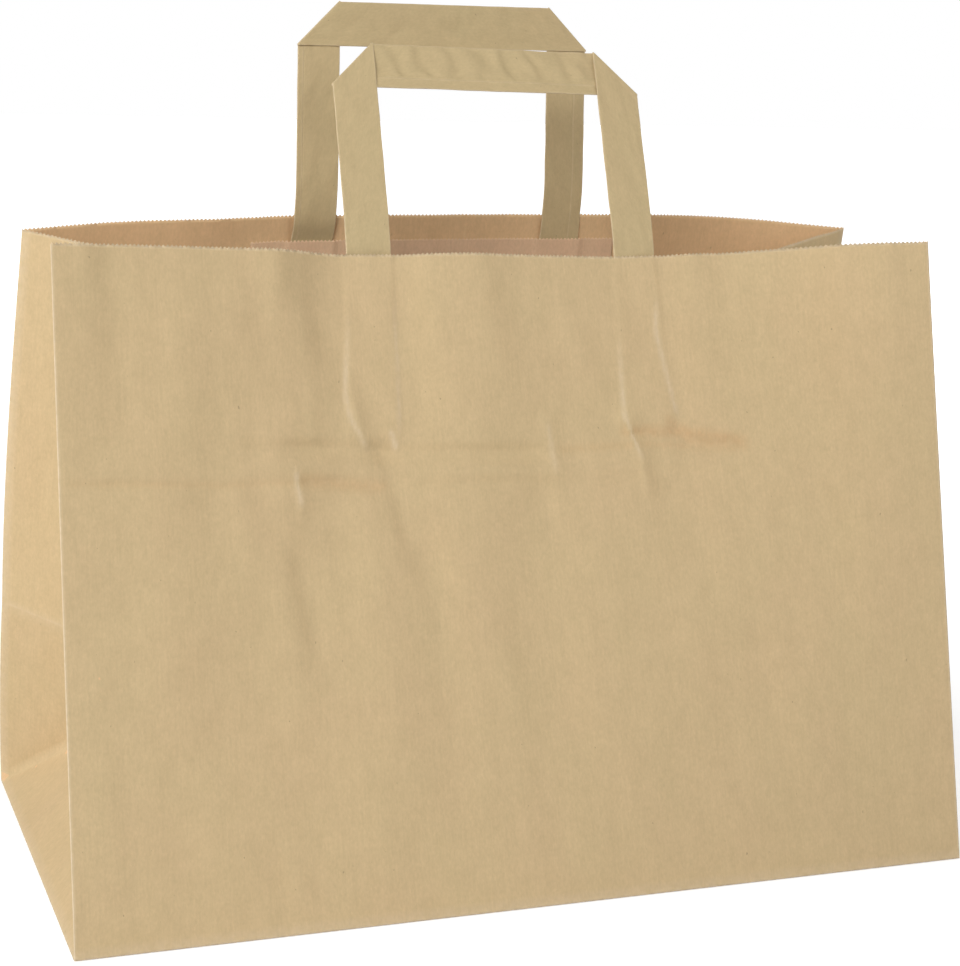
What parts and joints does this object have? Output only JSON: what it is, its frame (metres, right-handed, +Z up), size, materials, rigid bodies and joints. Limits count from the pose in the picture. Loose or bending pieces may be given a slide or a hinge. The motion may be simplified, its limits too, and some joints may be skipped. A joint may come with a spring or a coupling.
{
  "type": "takeaway bag",
  "caption": "Block-bottom brown paper carrier bag with inward side gussets and flat folded paper handles glued inside the mouth.",
  "frame": {"origin": "on the surface that the bag stands on, at the middle of the folded bottom", "axes": "+X along the bag's width, +Z up out of the mouth, and the front panel faces -Y"},
  "size_m": [0.3538, 0.184, 0.3223],
  "materials": {
    "kraft_paper": "matte unbleached kraft",
    "kraft_strip": "matte folded kraft strip",
    "kraft_patch": "matte kraft, warmer in tone"
  },
  "bodies": {
    "root": {"bag_body": "kraft_paper", "front_handle": "kraft_strip", "back_handle": "kraft_strip", "front_handle_patch": "kraft_patch", "back_handle_patch": "kraft_patch"}
  },
  "joints": []
}
